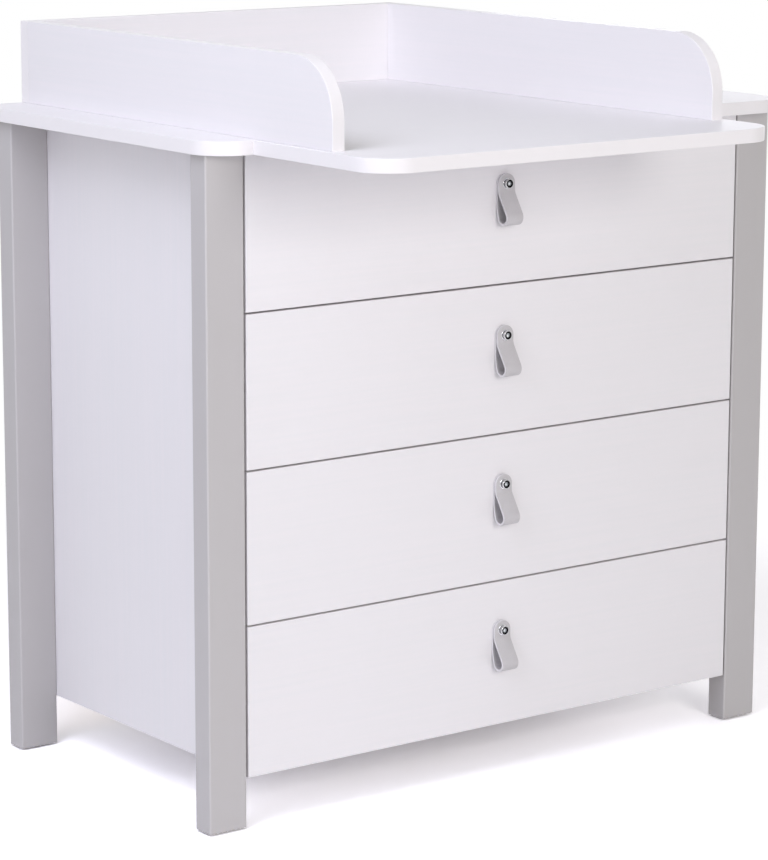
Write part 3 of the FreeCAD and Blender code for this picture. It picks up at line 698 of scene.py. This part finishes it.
def pullPath(look):
    # the folded strap's middle line as (length, turn) stretches, from the back leaf's top
    swing, lean = radians(look["swingTurn"]), radians(look["lean"])
    backLine = -look["thickness"] / 2
    frontLine = -look["thickness"] * 1.5 - look["leafGap"]
    bottomTurn = pi - swing + lean
    outward = backLine - look["swing"] * (1 - cos(swing))
    outward -= look["bend"] * (cos(swing) + cos(lean))
    slope = (frontLine - look["crook"] * (1 - cos(lean)) - outward) / sin(lean)
    fall = look["swing"] * sin(swing) - look["bend"] * (sin(lean) + sin(swing))
    rise = slope * cos(lean) + look["crook"] * sin(lean)
    backFlat = look["head"] + look["flatBelow"] - fall + rise
    return [
        (backFlat, 0.0),
        (look["swing"] * swing, -swing),
        (look["bend"] * bottomTurn, -bottomTurn),
        (slope, 0.0),
        (look["crook"] * lean, lean),
        (look["head"] + look["flatBelow"], 0.0),
    ]


def onPath(path, start, distance):
    # the place and heading, in side view, at a distance along the strap
    place, heading = start.copy(), -pi / 2
    for length, turn in path:
        step = min(distance, length) if (length, turn) != path[-1] else distance
        bent = turn * step / length
        if turn:
            radius = length / turn
            place.y += radius * (sin(heading + bent) - sin(heading))
            place.z -= radius * (cos(heading + bent) - cos(heading))
            heading += bent
        else:
            place.y += step * cos(heading)
            place.z += step * sin(heading)
        distance -= step
        if distance <= 0:
            break
    return place, heading


def flatStrap(look, length):
    # the strap as it is cut, with rounded ends and a softened rim
    shape = bmesh.new()
    radius = look["width"] / 2
    half = look["thickness"] / 2
    sides = look["outlineSides"]
    outline = bmesh.ops.create_circle(shape, cap_ends=True, segments=sides, radius=radius)["verts"]
    bmesh.ops.rotate(shape, verts=outline, matrix=Matrix.Rotation(pi / sides, 3, "Z"))
    bmesh.ops.translate(shape, verts=outline, vec=(0, radius, -half))
    farEnd = [corner for corner in outline if corner.co.y > radius]
    bmesh.ops.translate(shape, verts=farEnd, vec=(0, length - look["width"], 0))
    grown = bmesh.ops.extrude_face_region(shape, geom=shape.faces[:])["geom"]
    lifted = [item for item in grown if isinstance(item, bmesh.types.BMVert)]
    bmesh.ops.translate(shape, verts=lifted, vec=(0, 0, look["thickness"]))
    turnOutward(shape)
    rim = [edge for edge in shape.edges if edge.calc_face_angle(0) > radians(look["rimTurn"])]
    bmesh.ops.bevel(shape, geom=rim, offset=look["softEdge"], segments=look["softEdgeSteps"], profile=0.5,
                    affect="EDGES", material=-1)
    return shape


def punched(shape, tools, thickness=0.0):
    # a sheet gets its thickness, and the tools are cut out of it, both applied at once
    blank = bpy.data.objects.new("blank", bpy.data.meshes.new("blank"))
    punch = bpy.data.objects.new("punch", bpy.data.meshes.new("punch"))
    for item, source in ((blank, shape), (punch, tools)):
        source.to_mesh(item.data)
        source.free()
        scene.collection.objects.link(item)
    if thickness:
        sheet = blank.modifiers.new("thickness", "SOLIDIFY")
        sheet.thickness = thickness
        sheet.offset = 0
        sheet.use_even_offset = True
    cutting = blank.modifiers.new("holes", "BOOLEAN")
    cutting.operation = "DIFFERENCE"
    cutting.object = punch
    bpy.context.view_layer.update()
    result = bmesh.new()
    result.from_object(blank, bpy.context.evaluated_depsgraph_get())
    for item in (blank, punch):
        meshData = item.data
        bpy.data.objects.remove(item)
        bpy.data.meshes.remove(meshData)
    return result


def makePull(drawer, look=pullLook):
    path = pullPath(look)
    length = sum(stretch for stretch, _ in path)
    shape = flatStrap(look, length)
    holes = bmesh.new()
    radius = look["hole"]
    for spot in (look["head"], length - look["head"]):
        bmesh.ops.create_cone(holes, cap_ends=True, segments=look["holeSides"], radius1=radius,
                              radius2=radius, depth=3 * look["thickness"],
                              matrix=Matrix.Translation((0, spot, 0)))
    shape = punched(shape, holes)
    turned = look["faceTurn"]
    for face in shape.faces:  # 0 grain side, 1 flesh side, 2 cut edge
        face.material_index = 0 if face.normal.z > turned else 1 if face.normal.z < -turned else 2
    cuts = int(length / look["bendStep"])
    for index in range(1, cuts):
        bmesh.ops.bisect_plane(shape, geom=shape.verts[:] + shape.edges[:] + shape.faces[:],
                               plane_co=(0, length * index / cuts, 0), plane_no=(0, 1, 0))
    bolt = bolted(drawer)
    start = Vector((0, -look["thickness"] / 2, look["head"]))
    for corner in shape.verts:
        place, heading = onPath(path, start, corner.co.y)
        outward = Vector((0, -sin(heading), cos(heading)))
        corner.co = bolt + mm * (place + outward * corner.co.z + Vector((corner.co.x, 0, 0)))
    makePiece(f"{drawer}_leather_pull", shape, [leatherFace, leatherFlesh, leatherEdge], drawer,
              [f"{drawer}_pull_strap"], sharp=look["sharpFrom"])


boltLook = {  # in mm, with heights out from the drawer front's face
    "washerRadius": 7.5,
    "washerThickness": 1.2,
    "headRadius": 6.2,
    "headHeight": 4.4,
    "roundedEdge": 0.6,
    "rimWidth": 0.7,
    "dish": 0.5,
    "dishSlope": 0.5,
    "socketRadius": 3.0,
    "socketDepth": 2.8,
    "socketPoint": 0.6,  # the drill's cone at the socket's bottom, and its width as a part of the radius
    "socketPointWidth": 0.8,
    "socketTaper": 0.999,
    "socketChamfer": (0.3, 0.25),
    "ringFrom": 0.95,  # where the painted dark reflection ring starts, as a part of the socket's radius
    "eased": 0.2,  # small corners of the head
    "shank": 2.5,
    "washerPlay": 0.15,
    "washerEdge": 0.3,
    "washerRound": 0.45,
    "nutRadius": 6.0,
    "nutHeight": 4.0,
    "nutCrown": [(-1.2, 0.0), (-0.3, 0.5), (0.0, 1.1)],  # from the nut's radius and its outer end
    "frontThickness": 16.0,
    "steps": 48,
}


def spun(profile, steps):
    # a turned piece from (radius, height out) corners
    shape = bmesh.new()
    run = chain(shape, [(radius, -height, 0) for radius, height in profile])
    bmesh.ops.spin(shape, geom=run, cent=(0, 0, 0), axis=(0, 1, 0), dvec=(0, 0, 0), angle=2 * pi,
                   steps=steps, use_merge=True, use_duplicate=False)
    bmesh.ops.remove_doubles(shape, verts=shape.verts[:], dist=mergeDistance)
    turnOutward(shape)
    return shape


def quarter(radius, height, size, steps=5):
    # a rounded outer corner that ends at the given radius and height
    return [
        (radius - size + size * sin(step / steps * pi / 2), height - size + size * cos(step / steps * pi / 2))
        for step in range(steps + 1)
    ]


def makeBolt(drawer, look=boltLook):
    stack = 2 * pullLook["thickness"] + pullLook["leafGap"]
    seat = stack + look["washerThickness"]
    top = seat + look["headHeight"]
    dish = top - look["dish"]
    inner = look["headRadius"] - look["rimWidth"]
    socket = look["socketRadius"]
    socketFloor = dish - look["socketDepth"]
    chamfer, chamferDepth = look["socketChamfer"]
    eased = look["eased"]
    back = -look["frontThickness"]
    shape = spun([
        (0, socketFloor - look["socketPoint"]),
        (socket * look["socketPointWidth"], socketFloor),
        (socket * look["socketTaper"], socketFloor + eased),
        (socket, dish - chamferDepth),
        (socket + chamfer, dish),
        (inner - look["dishSlope"], dish),
        (inner, top),
        *quarter(look["headRadius"], top, look["roundedEdge"]),
        (look["headRadius"], seat + eased),
        (look["headRadius"] - eased, seat),
        (look["shank"], seat),
        (look["shank"], back),
        (0, back),
    ], look["steps"])
    for corner in shape.verts:  # the socket's rings become a hexagon
        radius = hypot(corner.co.x, corner.co.z)
        if mergeDistance < radius < socket + chamfer / 2 and corner.co.y < -seat:
            angle = degrees(atan2(corner.co.z, corner.co.x)) % 60 - 30  # from the middle of a flat
            shrink = cos(pi / 6) / cos(radians(angle))
            corner.co.x *= shrink
            corner.co.z *= shrink
    bore = look["shank"] + look["washerPlay"]
    washer = spun([
        (bore, stack),
        (look["washerRadius"] - look["washerEdge"], stack),
        (look["washerRadius"], stack + look["washerEdge"]),
        *quarter(look["washerRadius"], seat, look["washerRound"]),
        (bore, seat),
        (bore, stack),
    ], look["steps"])
    nutEnd = back - look["nutHeight"]
    nut = spun([
        (0, nutEnd),
        *((look["nutRadius"] + inwards, nutEnd + height) for inwards, height in look["nutCrown"]),
        (look["nutRadius"], back),
        (0, back),
    ], look["steps"])
    for extra in (washer, nut):
        addCopy(shape, extra)
        extra.free()
    for face in shape.faces:  # the dish round the socket gets the painted dark reflection ring, the socket is bare steel
        middle = face.calc_center_median()
        radius = hypot(middle.x, middle.z)
        inDish = socket * look["ringFrom"] < radius < inner and -middle.y > dish - eased
        inSocket = radius < socket and seat < -middle.y < dish
        face.material_index = 1 if inDish else 2 if inSocket else 0
    bmesh.ops.scale(shape, verts=shape.verts[:], vec=(mm, mm, mm))
    bmesh.ops.translate(shape, verts=shape.verts[:], vec=bolted(drawer))
    makePiece(f"{drawer}_bolt_and_washer", shape, [chrome, paintedReflectionRing, zincSteel], drawer,
              [f"{drawer}_pull_bolt"])


for drawer in drawerNames:
    makePull(drawer)
    makeBolt(drawer)
print("pulls done")


# Telescopic runners. Their shapes are drawn as (out from the side panel, along, up from the middle).

runnerLook = {  # in mm
    "strip": 1.2,
    # half of each rolled section, along the middle of the strip, from the web to the lip
    "cabinet": [(0.6, 0), (0.6, 19.3), (0.8, 20.2), (1.4, 20.9), (2.3, 21.2), (3.8, 21.3), (4.6, 21.6),
                (5.6, 21.9), (6.4, 21.9), (7.4, 21.6), (8.3, 21.1), (9.2, 20.7)],
    "middle": [(3.8, 0), (3.8, 14.4), (4.0, 15.4), (4.7, 16.1), (5.4, 16.3), (6.2, 16.3), (7.0, 16.5),
               (8.0, 16.7), (9.6, 16.7), (10.8, 16.4)],
    "drawer": [(12.1, 0), (12.1, 9.0), (11.8, 10.3), (11.0, 11.2), (10.0, 11.5), (8.8, 11.3),
               (7.6, 11.5), (6.2, 11.4)],
    # punched slots in each web: (from the front end, length, height)
    "slots": {
        "cabinet": [(78, 14, 5), (130, 22, 6), (180, 9, 5), (270, 9, 5), (320, 22, 6), (372, 14, 5)],
        "middle": [(40, 16, 11), (100, 30, 7), (170, 16, 11), (280, 16, 11), (350, 30, 7), (410, 16, 11)],
        "drawer": [(78, 14, 5), (150, 22, 6), (300, 22, 6), (372, 14, 5)],
    },
    "slotSides": 20,
    "punch": (-8.0, 30.0),  # where the punch starts and its length, across the web
    "cage": 0.5,
    "cageLength": 96.0,
    "cageMargin": 3.0,  # from the middle member's end
    "outerCage": [(2.9, 18.3), (3.5, 18.9), (4.4, 19.1), (8.4, 19.1)],
    "innerCage": [(6.6, 14.1), (10.4, 14.1), (10.9, 13.8), (11.1, 13.2)],
    "outerBalls": (6.0, 19.1, 2.05),  # out, up, radius
    "innerBalls": (8.8, 14.1, 1.85),
    "ballPitch": 18.0,
    "ballSides": 8,
    "ballRings": 6,
    "screws": (40, 225, 410),
}
screwLook = {  # in mm
    "head": 3.8,
    "headHeight": 1.3,
    "headShape": [(0, 1), (0.45, 0.98), (0.75, 0.86), (0.93, 0.6), (1, 0.3)],  # parts of the two above
    "headEdge": (0.1, 0.05),
    "shank": 1.9,
    "core": 1.425,
    "neck": 0.6,
    "point": 2.5,
    "length": 11.0,
    "sides": 20,
    "recess": 2.1,  # half width of the cross, and its arm
    "recessArm": 0.7,
    "recessDepth": 0.9,
}


def slotTool(slots, look=runnerLook):
    # obround punches through a web, for slots at (along, length, height)
    tools = bmesh.new()
    sides = look["slotSides"]
    punchStart, punchLength = look["punch"]
    for middle, length, height in slots:
        outline = bmesh.ops.create_circle(tools, cap_ends=True, segments=sides, radius=height / 2)["verts"]
        bmesh.ops.rotate(tools, verts=outline, matrix=Matrix.Rotation(pi / sides, 3, "Z"))
        reach = (length - height) / 2
        for corner in outline:
            corner.co.x += reach if corner.co.x > 0 else -reach
        disc = next(iter(outline[0].link_faces))
        grown = bmesh.ops.extrude_face_region(tools, geom=[disc])["geom"]
        lifted = [item for item in grown if isinstance(item, bmesh.types.BMVert)]
        bmesh.ops.translate(tools, verts=lifted, vec=(0, 0, punchLength))
        # the outline's length runs along Y, its height along Z and the punch through X
        turn = Matrix(((0, 0, 1), (1, 0, 0), (0, 1, 0)))
        bmesh.ops.rotate(tools, verts=outline + lifted, matrix=turn)
        bmesh.ops.translate(tools, verts=outline + lifted, vec=(punchStart, middle, 0))
    turnOutward(tools)
    return tools


def rolled(halfSection, length, thickness, slots=()):
    # a strip rolled to shape, both halves of it, drawn out along Y and punched
    shape = bmesh.new()
    for sign in (1, -1):
        run = chain(shape, [(out, 0, sign * up) for out, up in halfSection])
        edges = [item for item in run if isinstance(item, bmesh.types.BMEdge)]
        drawn = bmesh.ops.extrude_edge_only(shape, edges=edges)["geom"]
        far = [item for item in drawn if isinstance(item, bmesh.types.BMVert)]
        bmesh.ops.translate(shape, verts=far, vec=(0, length, 0))
    bmesh.ops.remove_doubles(shape, verts=shape.verts[:], dist=mergeDistance)
    bmesh.ops.recalc_face_normals(shape, faces=shape.faces[:])
    return punched(shape, slotTool(slots), thickness)


def panScrew(look=screwLook):
    # a pan head with a cross recess, its axis along -Y and its seat at the origin
    head, height = look["head"], look["headHeight"]
    edgeWidth, edgeHeight = look["headEdge"]
    shape = spun([
        *((head * wide, height * high) for wide, high in look["headShape"]),
        (head, edgeHeight),
        (head - edgeWidth, 0),
        (look["shank"], 0),
        (look["core"], -look["neck"]),
        (look["core"], look["point"] - look["length"]),
        (0, -look["length"]),
    ], look["sides"])
    cross = bmesh.new()
    arm = look["recessArm"]
    corners = bmesh.ops.create_cube(cross, size=1)["verts"]
    bmesh.ops.scale(cross, verts=corners, vec=(arm, 2 * look["recessDepth"], arm))
    flanks = [face for face in cross.faces if abs(face.normal.y) < 0.5]
    for flank in flanks:
        outward = flank.normal * (look["recess"] - arm / 2)
        grown = bmesh.ops.extrude_discrete_faces(cross, faces=[flank])["faces"]
        bmesh.ops.translate(cross, verts=grown[0].verts[:], vec=outward)
    bmesh.ops.translate(cross, verts=cross.verts[:], vec=(0, -height, 0))
    turnOutward(cross)
    return punched(shape, cross)


def cagedBalls(section, balls, start, look=runnerLook):
    # a thin cage along both flanges with its row of balls
    shape = rolled(section, look["cageLength"], look["cage"])
    bmesh.ops.translate(shape, verts=shape.verts[:], vec=(0, start, 0))
    out, up, radius = balls
    count = int(look["cageLength"] / look["ballPitch"])
    first = start + (look["cageLength"] - (count - 1) * look["ballPitch"]) / 2
    for sign in (1, -1):
        for index in range(count):
            spot = Matrix.Translation((out, first + index * look["ballPitch"], sign * up))
            bmesh.ops.create_uvsphere(shape, u_segments=look["ballSides"], v_segments=look["ballRings"],
                                      radius=radius, matrix=spot)
    return shape


def makeRunners(look=runnerLook):
    cabinetLow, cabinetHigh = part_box("cabinet_runners")
    length = (cabinetHigh.y - cabinetLow.y) / mm
    web = look["strip"]
    members = {name: rolled(look[name], length, look["strip"], look["slots"][name])
               for name in ("cabinet", "middle", "drawer")}
    rear = length - look["cageLength"] - look["cageMargin"]
    cages = [cagedBalls(look["outerCage"], look["outerBalls"], rear),
             cagedBalls(look["innerCage"], look["innerBalls"], look["cageMargin"])]
    screw = panScrew()
    towardsDrawer = Matrix.Rotation(pi / 2, 4, "Z")  # the head looks along +X, out from the side panel
    towardsPanel = Matrix.Rotation(-pi / 2, 4, "Z")
    cabinetShape, screwShape = bmesh.new(), bmesh.new()
    for drawer in drawerNames:
        low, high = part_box(f"{drawer}_middle_runners")
        drawerShape, middleShape = bmesh.new(), bmesh.new()
        for sign in (1, -1):
            place = Matrix.Translation((sign * cabinetHigh.x, cabinetLow.y, (low.z + high.z) / 2))
            place = place @ Matrix.Diagonal((-sign * mm, mm, mm, 1))
            addCopy(cabinetShape, members["cabinet"], place)
            addCopy(drawerShape, members["drawer"], place)
            addCopy(middleShape, members["middle"], place)
            for cage in cages:
                addCopy(middleShape, cage, place)
            for spot in look["screws"]:
                addCopy(screwShape, screw, place @ Matrix.Translation((web, spot, 0)) @ towardsDrawer)
                addCopy(drawerShape, screw,
                        place @ Matrix.Translation((look["drawer"][0][0] - web / 2, spot, 0)) @ towardsPanel)
        for shape, name, body, node in (
            (drawerShape, f"{drawer}_runner_members", drawer, f"{drawer}_runners"),
            (middleShape, f"{drawer}_middle_members", f"{drawer}_middle", f"{drawer}_middle_runners"),
        ):
            makePiece(name, shape, [zincSteel], body, [node])
    for shape, name, node in (
        (cabinetShape, "cabinet_runner_members", "cabinet_runners"),
        (screwShape, "cabinet_runner_screws", "runner_screws"),
    ):
        makePiece(name, shape, [zincSteel], "root", [node])
    for template in [*members.values(), *cages, screw]:
        template.free()


makeRunners()
print("runners done")
